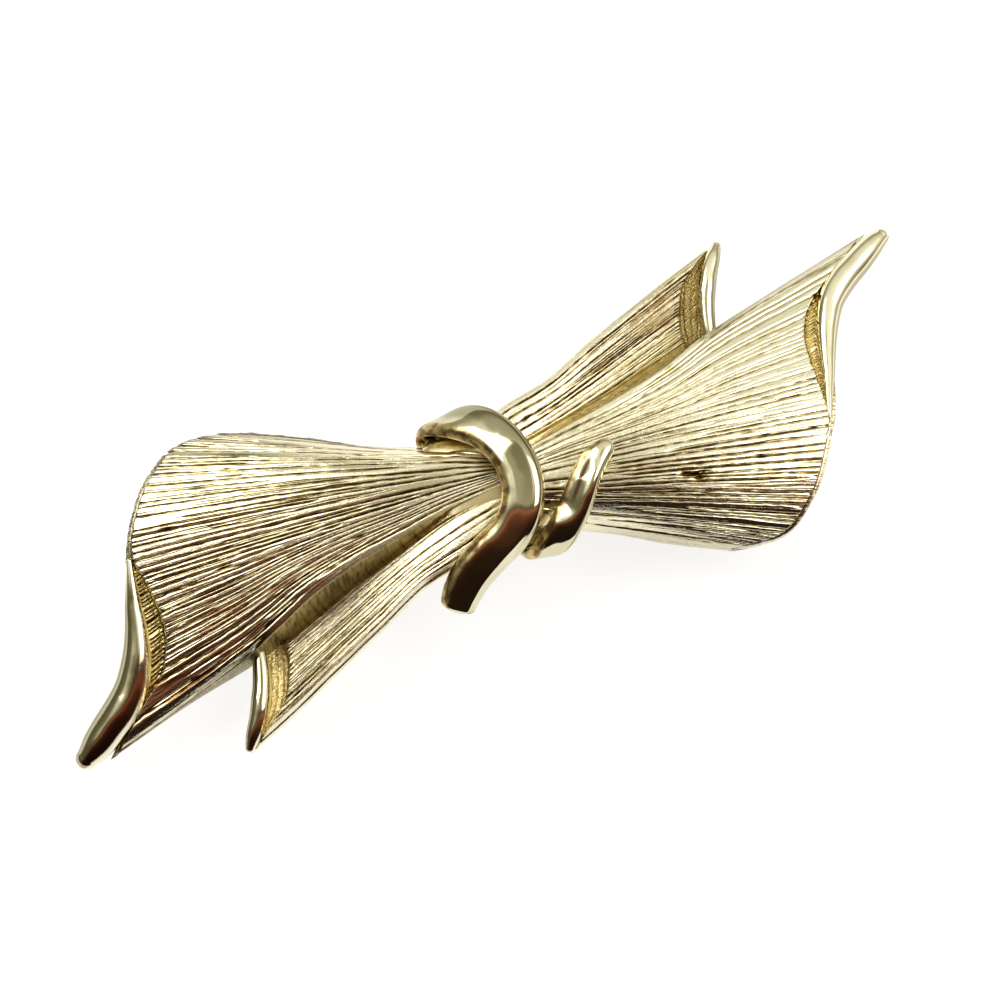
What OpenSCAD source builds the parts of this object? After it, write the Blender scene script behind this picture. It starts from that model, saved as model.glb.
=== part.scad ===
// Bow brooch: a cast ribbed bow, a polished ribbon tie round its waist and a pin finding behind it.
// The brooch lies face up. The long axis of the bow is X, and the face looks along Z.

/* [Wings] */
// Length of a wing, from the middle of the bow to its tip
wing_len = 35; // [31:0.5:40]
// Half the width of the bow, from the long axis to the rounded corner of a wing
wing_w = 11.5; // [10:0.25:13]
// Height from the level of the wing tips to the top of the waist
wing_h = 6.4; // [5.4:0.2:7.4]
// How far the level of the wing tips lies below the top of the pin bar
tip_drop = 1.8; // [1.2:0.1:2.2]
// Thickness of the cast metal
wall = 1.2; // [1:0.05:1.5]

/* [Ribs] */
// Number of ribs on a wide panel
main_ribs = 36; // [28:4:40]
// Number of ribs on a narrow panel
small_ribs = 16; // [12:4:20]
// Height of a rib at the hem
rib_h = 0.3; // [0.15:0.05:0.4]

/* [Curls] */
// Thickest radius of the large curl
big_curl_r = 1.25; // [1:0.05:1.5]
// Thickest radius of the small curl
small_curl_r = 0.7; // [0.5:0.05:0.85]
// Width of the groove between the wide panel's hem and its curl
big_groove_w = 1.2; // [1:0.1:1.4]
// Width of the groove between the narrow panel's hem and its curl
small_groove_w = 1.4; // [1.2:0.1:1.6]
// Depth of the grooves
groove_d = 0.7; // [0.4:0.1:0.9]

/* [Tie] */
// Width of the waist that the tie goes round
waist_w = 9.2; // [8.4:0.2:10]
// Width of the ribbon
tie_w = 3; // [2.4:0.1:3.4]
// Thickness of the ribbon at its front
tie_t = 1.4; // [1.1:0.1:1.7]
// Height of the top of the tie above the top of the waist
tie_rise = 2.2; // [1.8:0.1:2.8]
// Gap between the tie and what it touches
tie_gap = 0.08; // [0.05:0.01:0.15]

/* [Pin] */
// Length of the pin bar
bar_len = 40; // [34:1:42]
// Width of the pin bar
bar_w = 4.4; // [3.6:0.2:5]
// Thickness of the pin bar
bar_t = 0.8; // [0.6:0.1:1.2]
// Height of the hinge block and of the catch under the bar
block_h = 3.6; // [3.2:0.2:4.4]
// Length of the hinge block and of the catch along the bar
block_len = 3; // [2.4:0.2:4]
// Width of the feet of the hinge block and the catch
foot_w = 5; // [4.4:0.2:6]
// Radius of the pin stem
stem_r = 0.42; // [0.35:0.01:0.55]
// Height of the middle of the pin stem above the feet
stem_z = 1.3; // [1.1:0.1:1.6]
// Radius of the posts that carry the bar
post_r = 1.6; // [1.2:0.1:2]
// Distance of the posts from the middle of the bow
post_x = 14; // [12:0.5:16]
// Gap between a post and the bar
seat_gap = 0.05; // [0.03:0.01:0.1]
// How far the bar runs past the hinge block and the catch
bar_end = 1; // [0.6:0.1:1.6]

/* [Hidden] */

bar_top = block_h + bar_t;
tip_z = bar_top - tip_drop;
rear_share = 0.62;
rear_t = rear_share * tie_t;
rear_z = bar_top + tie_gap + rear_t / 2;
waist_low = bar_top + rear_t + 2 * tie_gap;
waist_top = tip_z + wing_h;
tie_top = waist_top + tie_rise - tie_t / 2;

// Sections across a wing. X is a share of wing_len, the other places are shares of wing_w,
// and the heights are shares of wing_h above the tips.
X = 0;
RIM_Y = 1;
FOLD_Y = 2;
VALLEY_Y = 3;
OUTER_Y = 4;
RIM_Z = 5;
CREST_Z = 6;
FOLD_Z = 7;
VALLEY_Z = 8;
OUTER_Z = 9;
SECTIONS = [
    // x, rim_y, fold_y, valley_y, outer_y, rim_z, crest_z, fold_z, valley_z, outer_z
    [-0.020, -0.28, 0.06, 0.07, 0.29, 0.69, 0.95, 0.92, 0.88, 0.85],
    [0.085, -0.38, 0.08, 0.09, 0.40, 0.60, 0.99, 0.94, 0.88, 0.90],
    [0.200, -0.54, 0.13, 0.17, 0.47, 0.53, 1.00, 0.92, 0.72, 0.87],
    [0.315, -0.75, 0.185, 0.25, 0.61, 0.47, 0.98, 0.86, 0.53, 0.77],
    [0.430, -0.93, 0.265, 0.35, 0.74, 0.42, 0.92, 0.73, 0.33, 0.61],
    [0.570, -1.12, 0.42, 0.46, 0.895, 0.36, 0.80, 0.53, 0.20, 0.37],
    [0.745, -1.35, 0.555, 0.555, 1.06, 0.30, 0.61, 0.30, 0.17, 0.15],
    [0.945, -1.60, 0.69, 0.69, 1.24, 0.22, 0.30, 0.10, 0.04, 0.00]
];
// Hem of the wide panel: share across the panel, x as a share of wing_len
MAIN_HEM = [
    [0, 0.437], [0.03, 0.483], [0.07, 0.534], [0.13, 0.575], [0.22, 0.615], [0.31, 0.653],
    [0.42, 0.692], [0.50, 0.718], [0.57, 0.734], [0.67, 0.735], [0.76, 0.737], [0.84, 0.749],
    [0.91, 0.787], [0.96, 0.860], [1, 0.935]
];
// Hem of the narrow panel: share across the panel, x as a share of wing_len
SMALL_HEM = [[0, 0.518], [0.26, 0.521], [0.58, 0.540], [0.80, 0.564], [0.92, 0.602], [1, 0.635]];
// Curls: x as a share of wing_len, y of wing_w, z of wing_h above the tips, radius of the thickest
BIG_CURL = [
    [0.742, -0.40, 0.58, 0.16], [0.755, -0.28, 0.53, 0.32], [0.771, -0.13, 0.45, 0.52],
    [0.786, 0.02, 0.38, 0.70], [0.806, 0.17, 0.31, 0.88], [0.837, 0.32, 0.24, 1.00],
    [0.874, 0.43, 0.18, 1.04], [0.912, 0.505, 0.13, 0.95], [0.943, 0.565, 0.10, 0.84],
    [0.962, 0.600, 0.08, 0.72], [0.980, 0.628, 0.06, 0.56]
];
SMALL_CURL = [
    [0.560, 0.37, 0.26, 0.60], [0.568, 0.45, 0.265, 0.78], [0.575, 0.53, 0.265, 0.90],
    [0.586, 0.63, 0.27, 1.00], [0.600, 0.72, 0.28, 1.04], [0.617, 0.81, 0.265, 0.98],
    [0.637, 0.89, 0.245, 0.84], [0.650, 0.94, 0.22, 0.64], [0.656, 0.965, 0.21, 0.50]
];
// Ribbon from its tail to where it lies on the wing: x and y as shares of waist_w, z as a share
// of the way from the strand behind the waist to the front, the lean of the ribbon's outer side
// about X from straight up, then its width and thickness as shares of tie_w and tie_t
WRAP = [
    [-0.598, -0.866, 0.34, -32, 0.46, 0.50],
    [-0.572, -0.838, 0.37, -31, 0.80, 0.80],
    [-0.500, -0.756, 0.46, -30, 0.94, 1.00],
    [-0.376, -0.662, 0.59, -27, 1.00, 1.05],
    [-0.188, -0.570, 0.73, -21, 1.02, 1.05],
    [0.000, -0.490, 0.84, -10, 1.00, 1.00],
    [0.136, -0.380, 0.93, -6, 1.00, 1.00],
    [0.228, -0.228, 0.98, -3, 1.00, 1.00],
    [0.260, -0.065, 1.00, 0, 1.00, 1.00],
    [0.250, 0.092, 1.00, 4, 1.00, 1.00],
    [0.205, 0.245, 0.95, 10, 1.02, 1.00],
    [0.122, 0.395, 0.87, 22, 1.04, 0.98],
    [0.003, 0.505, 0.73, 40, 1.04, 0.92],
    [-0.118, 0.568, 0.53, 64, 1.00, 0.85],
    [-0.212, 0.578, 0.29, 96, 0.94, 0.75],
    [-0.232, 0.500, 0.07, 140, 0.90, 0.66],
    [-0.196, 0.330, 0.00, 174, 0.95, rear_share],
    [0.000, 0.087, 0.00, 180, 1.00, rear_share],
    [0.120, -0.217, 0.00, 180, 0.95, rear_share],
    [0.170, -0.480, 0.03, 200, 0.86, 0.66],
    [0.195, -0.620, 0.18, 250, 0.78, 0.70],
    [0.270, -0.663, 0.39, 298, 0.78, 0.78],
    [0.400, -0.610, 0.60, 334, 0.80, 0.84],
    [0.535, -0.500, 0.74, 352, 0.78, 0.88]
];
// End of the ribbon that lies on the right wing: x and y as shares of waist_w, then as above
END = [
    [0.645, -0.385, 357, 0.76, 0.88],
    [0.745, -0.275, 359, 0.70, 0.84],
    [0.855, -0.180, 360, 0.64, 0.78],
    [0.965, -0.125, 360, 0.48, 0.70],
    [1.030, -0.103, 360, 0.30, 0.50]
];

// Share across the wide panel where its crest lies, and how full the narrow panel is
crest_share = 0.44;
small_fullness = 0.16;
// How far the ribs crowd toward the fold at full_share, and their height at the waist
rib_spread = 0.3;
rib_start = 0.3;
start_share = SECTIONS[0][X];
full_share = 0.745;
// Half the length of the waist, its half width as a share, its depth under the ribs' level
waist_reach = 4;
waist_share = 0.48;
waist_sink = 0.4;
waist_fall = 0.35;
// Rows of the panels from the waist to the hem, as shares of the way
ROWS = [0, 0.12, 0.25, 0.38, 0.51, 0.64, 0.76, 0.87, 0.95, 1];
// Rows beyond the hem: share of the groove's width, share of its depth
LIP_ROWS = [[0.3, 0.85], [0.7, 1], [1.35, 0.8]];
// Lip beyond a hem with no groove, and how much thinner the metal is at the tips and at the waist
free_lip = 0.3;
tip_thin = 0.5;
waist_thin = 0.2;
back_step = 4;
curl_sides = 12;
tie_sides = 16;
// How much narrower the ribbon is at its top, and wider at its foot, as a share
side_slope = 0.14;
waist_sides = 24;
// How far the narrow panel laps under the fold, as a share of its width
lap_share = 0.1;
// Radii of the balls that round a curl's ends, as shares of the curl there
cap_share = 0.97;
inner_cap_share = 0.8;
// How much nearer the waist the rounded corner of each wing's hem and the root of its large curl
// lie, as a share
right_trim = 0.028;
left_trim = -0.008;
// Thickness of each wing's large curl and width of its groove, as shares of the named sizes
right_slim = 0.8;
left_slim = 1;

// Smooth curve through a column c of the rows of table t, read at x in its first column
function row_before(t, x, i = 0) = i > len(t) - 3 || x < t[i + 1][0] ? i : row_before(t, x, i + 1);
function row_slope(t, i, c) =
    let (a = max(i - 1, 0), b = min(i + 1, len(t) - 1))
    (t[b][c] - t[a][c]) / (t[b][0] - t[a][0]);
function curve(t, x, c) =
    let (
        i = row_before(t, x),
        h = t[i + 1][0] - t[i][0],
        u = (x - t[i][0]) / h,
        rise = t[i + 1][c] - t[i][c],
        s0 = row_slope(t, i, c) * h,
        s1 = row_slope(t, i + 1, c) * h
    )
    t[i][c] + s0 * u + (3 * rise - 2 * s0 - s1) * u * u + (s0 + s1 - 2 * rise) * u * u * u;

function section(x, c) = curve(SECTIONS, x, c);
function blend(a, b, s) = a + (b - a) * s;
function ease(x, a, b) =
    let (u = min(max((x - a) / (b - a), 0), 1))
    u * u * (3 - 2 * u);
function unit(v) = v / norm(v);

// Height share of the wide panel's skin at share s across it
function main_h(x, s) =
    let (crest = section(x, CREST_Z))
    s < crest_share
        ? crest - (crest - section(x, RIM_Z)) * pow(1 - s / crest_share, 2)
        : crest - (crest - section(x, FOLD_Z)) * pow((s - crest_share) / (1 - crest_share), 1.8);
// Share across the wide panel that the rib at share v has reached at x
function rib_share(x, v) =
    v - rib_spread * (x - start_share) / (full_share - start_share) * v * (1 - v);
// Height of the wide panel's skin under a place in millimetres
function skin_z(px, py) =
    let (
        x = px / wing_len,
        s = (py / wing_w - section(x, RIM_Y)) / (section(x, FOLD_Y) - section(x, RIM_Y))
    )
    tip_z + wing_h * main_h(x, s);

function main_point(x, v) =
    let (s = rib_share(x, v))
    [
        x * wing_len,
        wing_w * blend(section(x, RIM_Y), section(x, FOLD_Y), s),
        tip_z + wing_h * main_h(x, s)
    ];
function small_point(x, w) = [
    x * wing_len,
    wing_w * blend(section(x, VALLEY_Y), section(x, OUTER_Y), w),
    tip_z + wing_h * (blend(section(x, VALLEY_Z), section(x, OUTER_Z), w) + small_fullness * w * (1 - w))
];

// How much of the groove and curl there is at share v of a hem
function groove_share(main, v) =
    main
        ? ease(v, 0.5, 0.8) * (1 - 0.8 * ease(v, 0.9, 1))
        : (0.6 + 0.4 * ease(v, 0, 0.3)) * (1 - 0.75 * ease(v, 0.82, 1));
function lip_depth(g) = blend(free_lip, groove_d, g);
// Skin point of a row and share: inside the panel, or beyond its hem on the lip
function panel_point(main, row, v, trim, slim) =
    let (
        g = groove_share(main, v),
        groove_w = main ? slim * big_groove_w : small_groove_w,
        corner = main ? trim * (1 - ease(v, 0.45, 0.75)) : 0,
        outward = main ? (1 - slim) * big_groove_w * g : 0,
        hem = curve(main ? MAIN_HEM : SMALL_HEM, v, 1) * (1 - corner) + outward / wing_len,
        beyond = row - len(ROWS),
        x = beyond < 0
            ? blend(start_share, hem, ROWS[row])
            : hem + LIP_ROWS[beyond][0] * blend(free_lip, groove_w, g) / wing_len,
        drop = beyond < 0 ? 0 : LIP_ROWS[beyond][1] * lip_depth(g)
    )
    (main ? main_point(x, v) : small_point(x, v)) - [0, 0, drop];
// Height of a rib at a row: low at the waist, full near the hem, none on the lip
function rib_rise(row) =
    row > len(ROWS) - 1 ? 0 : rib_h * blend(rib_start, 1, ease(ROWS[row], 0, 0.7));

// Faces of a shell between a fine grid of nt columns and a coarse grid of nb columns
function shell_faces(nr, nt, nb) =
    let (
        k = nt / nb,
        t = function (r, c) r * (nt + 1) + c,
        b = function (r, c) (nr + 1) * (nt + 1) + r * (nb + 1) + c
    )
    concat(
        [for (r = [0 : nr - 1], c = [0 : nt - 1]) each [
            [t(r, c), t(r + 1, c + 1), t(r + 1, c)],
            [t(r, c), t(r, c + 1), t(r + 1, c + 1)]
        ]],
        [for (r = [0 : nr - 1], c = [0 : nb - 1]) each [
            [b(r, c), b(r + 1, c), b(r + 1, c + 1)],
            [b(r, c), b(r + 1, c + 1), b(r, c + 1)]
        ]],
        [for (r = [0 : nr - 1]) each [
            [t(r, 0), t(r + 1, 0), b(r + 1, 0)],
            [t(r, 0), b(r + 1, 0), b(r, 0)],
            [t(r, nt), b(r + 1, nb), t(r + 1, nt)],
            [t(r, nt), b(r, nb), b(r + 1, nb)]
        ]],
        [for (c = [0 : nb - 1]) each concat(
            [for (j = [0 : k - 1])
                let (low = j < k / 2 ? c : c + 1)
                [b(0, low), t(0, c * k + j + 1), t(0, c * k + j)]],
            [for (j = [0 : k - 1])
                let (low = j < k / 2 ? c : c + 1)
                [b(nr, low), t(nr, c * k + j), t(nr, c * k + j + 1)]],
            [
                [b(0, c), b(0, c + 1), t(0, c * k + k / 2)],
                [b(nr, c + 1), b(nr, c), t(nr, c * k + k / 2)]
            ]
        )]
    );

// Thickness of the metal at a place: thinner toward the tips and at the waist
function wall_at(p) =
    let (x = p.x / wing_len)
    wall * (1 - tip_thin * ease(x, 0.5, 0.95)) * (1 - waist_thin * (1 - ease(x, 0, 0.2)));

// A ribbed panel of a wing: ribs on the face and a smooth hollow back
module panel(main, ribs, trim = 0, slim = 1) {
    nr = len(ROWS) + len(LIP_ROWS) - 1;
    nt = 2 * ribs;
    nb = nt / back_step;
    first = main ? 0 : -lap_share;
    face = [for (r = [0 : nr], c = [0 : nt])
        panel_point(main, r, blend(first, 1, c / nt), trim, slim)
            + [0, 0, (c % 2) * rib_rise(r)]];
    back = [for (r = [0 : nr], c = [0 : nb])
        let (p = panel_point(main, r, blend(first, 1, c / nb), trim, slim))
        main && c == nb ? step_foot(p) : p - [0, 0, wall_at(p)]];
    polyhedron(concat(face, back), shell_faces(nr, nt, nb), convexity = 6);
}

// Foot of the step under the fold edge, just inside the narrow panel
function step_foot(p) =
    let (x = p.x / wing_len)
    [p.x, wing_w * section(x, VALLEY_Y), tip_z + wing_h * section(x, VALLEY_Z) - wall_at(p) / 2];

// Faces of a closed tube of rings with n points each
function tube_faces(rings, n) =
    concat(
        [for (r = [0 : rings - 2], i = [0 : n - 1])
            let (a = r * n + i, b = r * n + (i + 1) % n)
            each [[a, b, a + n], [b, b + n, a + n]]],
        [[for (i = [n - 1 : -1 : 0]) i]],
        [[for (i = [0 : n - 1]) (rings - 1) * n + i]]
    );
module tube(rings, n) {
    polyhedron([for (ring = rings) each ring], tube_faces(len(rings), n), convexity = 4);
}
// Direction of a path at its point i
function heading(path, i) =
    unit(path[min(i + 1, len(path) - 1)] - path[max(i - 1, 0)]);

// A rolled horn along a curl's table, with a rounded root and tip. A slim one keeps its inner side.
module curl(table, r_max, trim = 0, slim = 1) {
    line = [for (q = table)
        let (x = q[0] * (1 - trim * (1 - ease(q[1], -0.6, 0.2))))
        [x * wing_len, q[1] * wing_w, tip_z + q[2] * wing_h]];
    last = len(line) - 1;
    sides = [for (i = [0 : last]) unit(cross(heading(line, i), [0, 0, 1]))];
    path = [for (i = [0 : last]) line[i] - (1 - slim) * table[i][3] * r_max * sides[i]];
    radii = [for (q = table) slim * q[3] * r_max];
    rings = [for (i = [0 : last])
        let (up = cross(sides[i], heading(line, i)))
        [for (k = [0 : curl_sides - 1])
            let (a = 360 * k / curl_sides)
            path[i] + radii[i] * (cos(a) * sides[i] + sin(a) * up)]];
    tube(rings, curl_sides);
    for (ends = [[0, 1], [last, last - 1]])
        hull() {
            translate(path[ends[0]])
                sphere(r = cap_share * radii[ends[0]], $fn = curl_sides);
            translate(path[ends[1]])
                sphere(r = inner_cap_share * radii[ends[1]], $fn = curl_sides);
        }
}

module wing(trim, slim) {
    panel(true, main_ribs, trim, slim);
    panel(false, small_ribs);
    curl(BIG_CURL, big_curl_r, trim, slim);
    curl(SMALL_CURL, small_curl_r);
}

// Fuller than a sine, so that an oval gets rounder shoulders
waist_power = 0.75;
tie_power = 0.6;
function round_out(c, power) = sign(c) * pow(abs(c), power);
// Oval waist between the wings, which the tie goes round
module waist() {
    top = waist_top - waist_sink;
    mid = (waist_low + top) / 2;
    tube([for (s = [-1, -0.6, 0, 0.6, 1])
        let (half_w = waist_share * waist_w, half_h = (top - waist_low) / 2 - waist_fall * s * s)
        [for (k = [0 : waist_sides - 1])
            let (a = 360 * k / waist_sides)
            let (wide = round_out(cos(a), waist_power), high = round_out(sin(a), waist_power))
            [s * waist_reach, -half_w * wide, mid + half_h * high]]],
        waist_sides);
}

// Post on the back of a wing, from the pin bar up into the panel
module post() {
    low = bar_top + seat_gap;
    top = skin_z(post_x + post_r, 0) - wall / 2;
    translate([post_x, 0, low])
        cylinder(r = post_r, h = top - low, $fn = 32);
}

// Line of the ribbon with its lean, width and thickness
tie_rows = concat(
    [for (q = WRAP)
        [q[0] * waist_w, q[1] * waist_w, blend(rear_z, tie_top, q[2]), q[3], q[4], q[5]]],
    [for (q = END)
        let (p = [q[0] * waist_w, q[1] * waist_w])
        [p.x, p.y, skin_z(p.x, p.y) + rib_h / 2 + tie_gap + q[4] * tie_t / 2, q[2], q[3], q[4]]]
);
function between(rows, i, u) =
    let (
        a = rows[max(i - 1, 0)],
        b = rows[i],
        c = rows[min(i + 1, len(rows) - 1)],
        d = rows[min(i + 2, len(rows) - 1)]
    )
    (2 * b + (c - a) * u + (2 * a - 5 * b + 4 * c - d) * u * u
        + (3 * b - a - 3 * c + d) * u * u * u) / 2;
tie_line = concat(
    [for (i = [0 : len(tie_rows) - 2], u = [0, 0.5]) between(tie_rows, i, u)],
    [tie_rows[len(tie_rows) - 1]]
);

// The ribbon, grown by a gap on all sides
module ribbon(grow) {
    path = [for (q = tie_line) [q[0], q[1], q[2]]];
    last = len(path) - 1;
    rings = [for (i = [0 : last])
        let (
            ahead = heading(path, i),
            lean = tie_line[i][3],
            side = unit(cross(ahead, [0, sin(lean), cos(lean)])),
            up = cross(side, ahead),
            half_w = tie_line[i][4] * tie_w / 2 + grow,
            half_t = tie_line[i][5] * tie_t / 2 + grow,
            shift = i == 0 ? -grow : i == last ? grow : 0
        )
        [for (k = [0 : tie_sides - 1])
            let (a = 360 * k / tie_sides)
            let (
                high = round_out(sin(a), tie_power),
                wide = round_out(cos(a), tie_power) * (1 - side_slope * high)
            )
            path[i] + ahead * shift + half_w * wide * side + half_t * high * up]];
    tube(rings, tie_sides);
}

module bow() {
    color("#d8c27a")
        difference() {
            union() {
                for (turn = [0, 180])
                    rotate([0, 0, turn]) {
                        wing(
                            turn == 0 ? right_trim : left_trim,
                            turn == 0 ? right_slim : left_slim
                        );
                        post();
                    }
                waist();
            }
            ribbon(tie_gap);
        }
}

module tie() {
    color("#e8d79a")
        ribbon(0);
}

module pin_back() {
    block_x = bar_len / 2 - block_len / 2 - bar_end;
    color("#c9b26a") {
        // Bar with round ends
        translate([0, 0, block_h])
            linear_extrude(height = bar_t)
                union() {
                    square([bar_len - bar_w, bar_w], center = true);
                    for (s = [-1, 1])
                        translate([s * (bar_len - bar_w) / 2, 0])
                            circle(d = bar_w, $fn = 48);
                }
        // Hinge block and catch
        for (s = [-1, 1])
            translate([s * block_x, 0, 0])
                translate([-block_len / 2, -foot_w / 2, 0])
                    cube([block_len, foot_w, block_h]);
        // Pin stem
        translate([-block_x, 0, stem_z])
            rotate([0, 90, 0])
                cylinder(r = stem_r, h = 2 * block_x, $fn = 32);
    }
}

bow();
tie();
pin_back();
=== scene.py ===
import math

import bpy
import numpy as np
from mathutils import Matrix, Vector


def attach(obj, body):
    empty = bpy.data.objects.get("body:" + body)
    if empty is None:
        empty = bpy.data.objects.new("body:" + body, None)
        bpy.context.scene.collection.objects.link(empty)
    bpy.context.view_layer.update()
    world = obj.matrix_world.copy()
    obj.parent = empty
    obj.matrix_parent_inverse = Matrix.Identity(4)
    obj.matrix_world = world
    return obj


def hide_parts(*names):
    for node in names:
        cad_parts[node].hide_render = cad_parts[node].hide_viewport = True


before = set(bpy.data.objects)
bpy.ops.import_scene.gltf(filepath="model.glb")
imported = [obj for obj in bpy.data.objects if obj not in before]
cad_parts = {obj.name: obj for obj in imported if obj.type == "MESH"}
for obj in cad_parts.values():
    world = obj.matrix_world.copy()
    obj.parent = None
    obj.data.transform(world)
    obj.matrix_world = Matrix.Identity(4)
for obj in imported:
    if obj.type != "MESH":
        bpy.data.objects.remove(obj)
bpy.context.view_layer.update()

# Sizes of the brooch in millimetres. X is along the bow, Z is out of its face.
MM = 0.001
WING_LEN = 35.0
WING_W = 11.5
WING_H = 6.4
TIP_Z = 2.6
WALL = 1.2
BAR_TOP = 4.4
WAIST_W = 9.2
WAIST_REACH = 4.0
TIE_W = 3.0
TIE_T = 1.4
TIE_RISE = 2.2
TIE_GAP = 0.08
RIB_H = 0.3
BIG_CURL_R = 1.25
SMALL_CURL_R = 0.7
BIG_GROOVE_W = 1.2
SMALL_GROOVE_W = 1.4
GROOVE_D = 0.7
POST_R = 1.6
POST_X = 14.0
SEAT_GAP = 0.05
# Relief in millimetres: ribs short of the hem, spacing of the cuts, depth of a dark one, notches and drop
# of the hem, width of the tones, and the ribbon's bevel and rounded ends
RIB_BACK = 0.3
FULL_SPACING = 0.34
CUT_DARK = 0.12
JAG_CORNER = 0.22
JAG_HEM = 0.1
FREE_LIP = 0.3
HEM_SPAN = 24.0
BEVEL = 0.5
END_ROUND = 0.35
# Shares: the ribbon's rear strand, slopes of its sides and face, and where columns leave the rim's line
REAR_SHARE = 0.62
SIDE_SLOPE = 0.14
TILT_IN = 0.04
TILT_OUT = 0.5
ALIGNED = 0.14

# Sections across a wing: x as a share of WING_LEN, y of WING_W, z of WING_H above the tips
X, RIM_Y, FOLD_Y, VALLEY_Y, OUTER_Y, RIM_Z, CREST_Z, FOLD_Z, VALLEY_Z, OUTER_Z = range(10)
SECTIONS = [
    [-0.020, -0.28, 0.06, 0.07, 0.29, 0.69, 0.95, 0.92, 0.88, 0.85],
    [0.085, -0.38, 0.08, 0.09, 0.40, 0.60, 0.99, 0.94, 0.88, 0.90],
    [0.200, -0.54, 0.13, 0.17, 0.47, 0.53, 1.00, 0.92, 0.72, 0.87],
    [0.315, -0.75, 0.185, 0.25, 0.61, 0.47, 0.98, 0.86, 0.53, 0.77],
    [0.430, -0.93, 0.265, 0.35, 0.74, 0.42, 0.92, 0.73, 0.33, 0.61],
    [0.570, -1.12, 0.42, 0.46, 0.895, 0.36, 0.80, 0.53, 0.20, 0.37],
    [0.745, -1.35, 0.555, 0.555, 1.06, 0.30, 0.61, 0.30, 0.17, 0.15],
    [0.945, -1.60, 0.69, 0.69, 1.24, 0.22, 0.30, 0.10, 0.04, 0.00],
]
# Hems: share across the panel, x as a share of WING_LEN
MAIN_HEM = [
    [0, 0.437], [0.03, 0.483], [0.07, 0.534], [0.13, 0.575], [0.22, 0.615], [0.31, 0.653],
    [0.42, 0.692], [0.50, 0.718], [0.57, 0.734], [0.67, 0.735], [0.76, 0.737], [0.84, 0.749],
    [0.91, 0.787], [0.96, 0.860], [1, 0.935],
]
SMALL_HEM = [[0, 0.518], [0.26, 0.521], [0.58, 0.540], [0.80, 0.564], [0.92, 0.602], [1, 0.635]]
# Curls: x as a share of WING_LEN, y of WING_W, z of WING_H above the tips, radius of the thickest
BIG_CURL = [
    [0.742, -0.40, 0.58, 0.16], [0.755, -0.28, 0.53, 0.32], [0.771, -0.13, 0.45, 0.52],
    [0.786, 0.02, 0.38, 0.70], [0.806, 0.17, 0.31, 0.88], [0.837, 0.32, 0.24, 1.00],
    [0.874, 0.43, 0.18, 1.04], [0.912, 0.505, 0.13, 0.95], [0.943, 0.565, 0.10, 0.84],
    [0.962, 0.600, 0.08, 0.72], [0.980, 0.628, 0.06, 0.56],
]
SMALL_CURL = [
    [0.560, 0.37, 0.26, 0.60], [0.568, 0.45, 0.265, 0.78], [0.575, 0.53, 0.265, 0.90],
    [0.586, 0.63, 0.27, 1.00], [0.600, 0.72, 0.28, 1.04], [0.617, 0.81, 0.265, 0.98],
    [0.637, 0.89, 0.245, 0.84], [0.650, 0.94, 0.22, 0.64], [0.656, 0.965, 0.21, 0.50],
]
# Ribbon: x and y as shares of WAIST_W, z as a share of the way from the rear strand to the front,
# lean of its outer side about X from straight up in degrees, width and thickness as shares
WRAP = [
    [-0.598, -0.866, 0.34, -32, 0.46, 0.50],
    [-0.572, -0.838, 0.37, -31, 0.80, 0.80],
    [-0.500, -0.756, 0.46, -30, 0.94, 1.00],
    [-0.376, -0.662, 0.59, -27, 1.00, 1.05],
    [-0.188, -0.570, 0.73, -21, 1.02, 1.05],
    [0.000, -0.490, 0.84, -10, 1.00, 1.00],
    [0.136, -0.380, 0.93, -6, 1.00, 1.00],
    [0.228, -0.228, 0.98, -3, 1.00, 1.00],
    [0.260, -0.065, 1.00, 0, 1.00, 1.00],
    [0.250, 0.092, 1.00, 4, 1.00, 1.00],
    [0.205, 0.245, 0.95, 10, 1.02, 1.00],
    [0.122, 0.395, 0.87, 22, 1.04, 0.98],
    [0.003, 0.505, 0.73, 40, 1.04, 0.92],
    [-0.118, 0.568, 0.53, 64, 1.00, 0.85],
    [-0.212, 0.578, 0.29, 96, 0.94, 0.75],
    [-0.232, 0.500, 0.07, 140, 0.90, 0.66],
    [-0.196, 0.330, 0.00, 174, 0.95, REAR_SHARE],
    [0.000, 0.087, 0.00, 180, 1.00, REAR_SHARE],
    [0.120, -0.217, 0.00, 180, 0.95, REAR_SHARE],
    [0.170, -0.480, 0.03, 200, 0.86, 0.66],
    [0.195, -0.620, 0.18, 250, 0.78, 0.70],
    [0.270, -0.663, 0.39, 298, 0.78, 0.78],
    [0.400, -0.610, 0.60, 334, 0.80, 0.84],
    [0.535, -0.500, 0.74, 352, 0.78, 0.88],
]
# End of the ribbon on the right wing: x and y as shares of WAIST_W, lean, width, thickness
END = [
    [0.645, -0.385, 357, 0.76, 0.88],
    [0.745, -0.275, 359, 0.70, 0.84],
    [0.855, -0.180, 360, 0.64, 0.78],
    [0.965, -0.125, 360, 0.48, 0.70],
    [1.030, -0.103, 360, 0.30, 0.50],
]

# Shares: crest of the wide panel, fullness of the narrow one, lean of the ribs and where it is full,
# thinning at the tips and the waist, and overlap of the panels
CREST_SHARE = 0.44
SMALL_FULLNESS = 0.16
RIB_SPREAD = 0.3
START_X = SECTIONS[0][X]
FULL_X = 0.745
TIP_THIN = 0.5
WAIST_THIN = 0.2
LAP = 0.1
# Right and left: share that the rounded corner and curl root lie nearer the waist, thickness of the large
# curl and width of its groove, how much thicker its tip is, and millimetres that the tip lies out
TRIM = (0.028, -0.008)
SLIM = (0.8, 1.0)
TIP_SWELL = (0.12, 0.16)
TIP_REACH = ((0.6, 0.04), (0.0, 0.0))
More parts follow.
